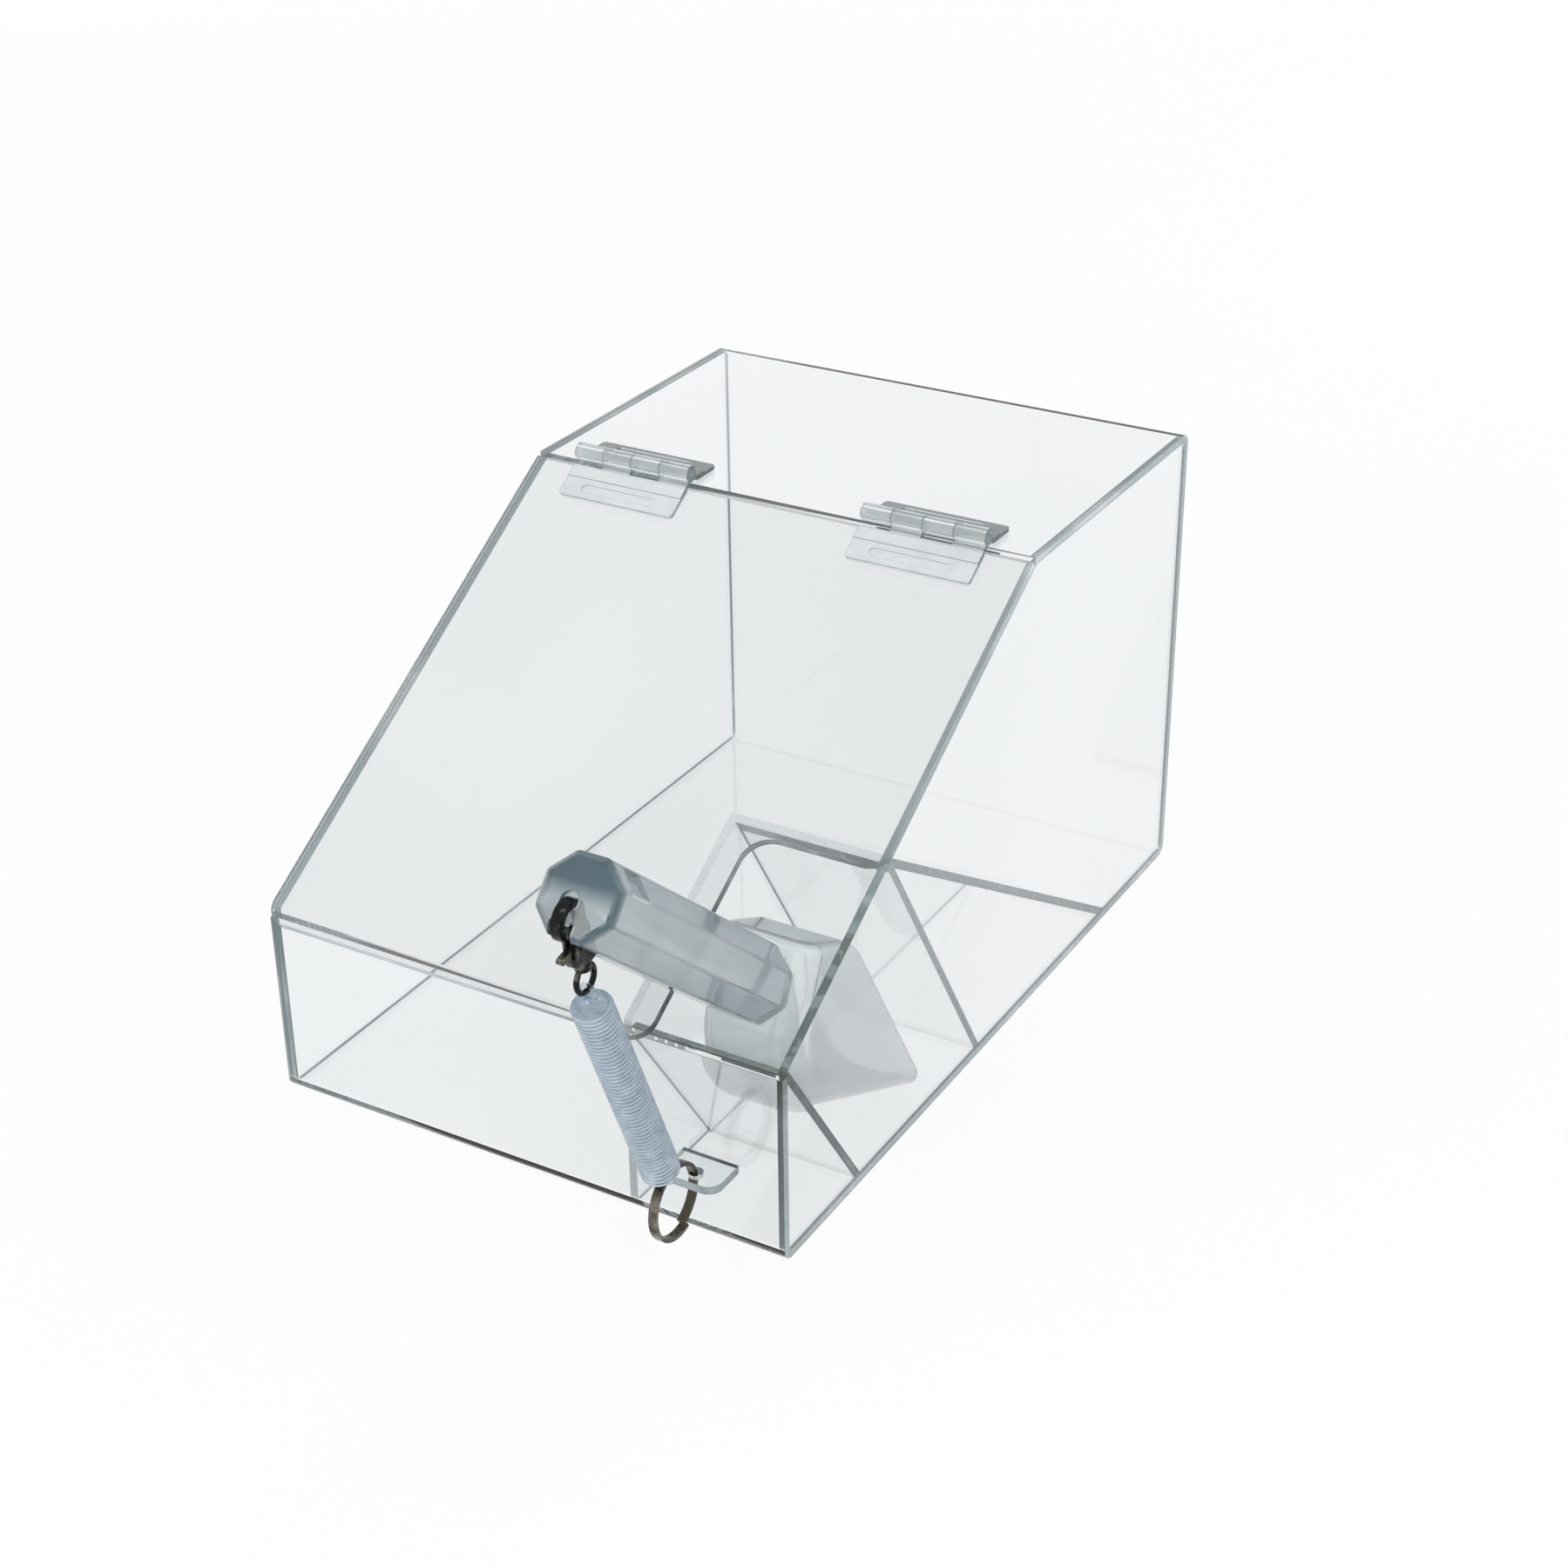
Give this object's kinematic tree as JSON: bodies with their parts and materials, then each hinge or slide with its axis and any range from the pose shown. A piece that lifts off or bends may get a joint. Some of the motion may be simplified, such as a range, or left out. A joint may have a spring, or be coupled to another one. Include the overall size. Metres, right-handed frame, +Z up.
{
  "type": "candy bin with scoop lid",
  "caption": "Clear acrylic countertop candy bin with a sloped hinged lid, a notch and inner pocket for a scoop, and a coiled tether that clips the scoop to the front wall.",
  "frame": {"origin": "centre of the bin's flat underside", "axes": "+X to the bin's right as seen from its front, +Y from the front wall to the back wall, +Z up"},
  "size_m": [0.203, 0.3823, 0.1878],
  "materials": {
    "acrylic_sheet": "clear 3 mm acrylic sheet, polished faces, pale green-grey edges",
    "hinge_acrylic": "moulded clear acrylic, leaf faces lightly frosted",
    "hinge_pin": "clear extruded acrylic rod",
    "scoop_clear": "moulded clear polycarbonate, glossy",
    "clasp_metal": "black gunmetal plating on cast zinc",
    "clasp_lever_metal": "black gunmetal plating, worn at the thumb piece",
    "rivet_steel": "dark steel",
    "ring_steel": "dark nickel-plated spring steel wire",
    "tether_plastic": "clear bluish flexible plastic cord"
  },
  "bodies": {
    "bin": {"body_wrap": "acrylic_sheet", "side_panel_left": "acrylic_sheet", "side_panel_right": "acrylic_sheet", "divider": "acrylic_sheet", "pocket_front": "acrylic_sheet", "pocket_back": "acrylic_sheet", "pocket_roof": "acrylic_sheet", "tether_tab": "acrylic_sheet", "hinge_top_leaf_left": "hinge_acrylic", "hinge_top_leaf_right": "hinge_acrylic", "split_ring": "ring_steel", "tether_loop_bottom": "tether_plastic", "tether_coil": "tether_plastic"},
    "lid": {"lid": "acrylic_sheet", "hinge_lid_leaf_left": "hinge_acrylic", "hinge_lid_leaf_right": "hinge_acrylic", "hinge_pin_left": "hinge_pin", "hinge_pin_right": "hinge_pin"},
    "scoop": {"scoop": "scoop_clear", "clasp_body": "clasp_metal", "clasp_rivet": "rivet_steel", "clasp_spring": "rivet_steel"},
    "clasp_lever": {"clasp_lever": "clasp_lever_metal"},
    "clasp_swivel": {"clasp_swivel": "clasp_metal", "tether_loop_top": "tether_plastic"}
  },
  "joints": [
    {"name": "lid_hinge", "type": "hinge", "parent": "bin", "child": "lid", "pos_m": [0, 0.0203, 0.1846], "axis": [-1, 0, 0], "range_deg": [0, 213]},
    {"name": "scoop_lift", "type": "slide", "parent": "bin", "child": "scoop", "axis": [0, -0.5245, 0.8514], "range_m": [0, 0.125], "deforming": ["tether_coil"]},
    {"name": "clasp_trigger", "type": "hinge", "parent": "scoop", "child": "clasp_lever", "pos_m": [0.0745, -0.21959, 0.14927], "axis": [-1, 0, 0], "range_deg": [0, 25], "stiffness_Nm_per_rad": 0.01, "springref_deg": -17.19},
    {"name": "clasp_turn", "type": "hinge", "parent": "scoop", "child": "clasp_swivel", "pos_m": [0.0745, -0.22086, 0.15941], "axis": [0, -0.1822, 0.9833], "continuous": true}
  ]
}
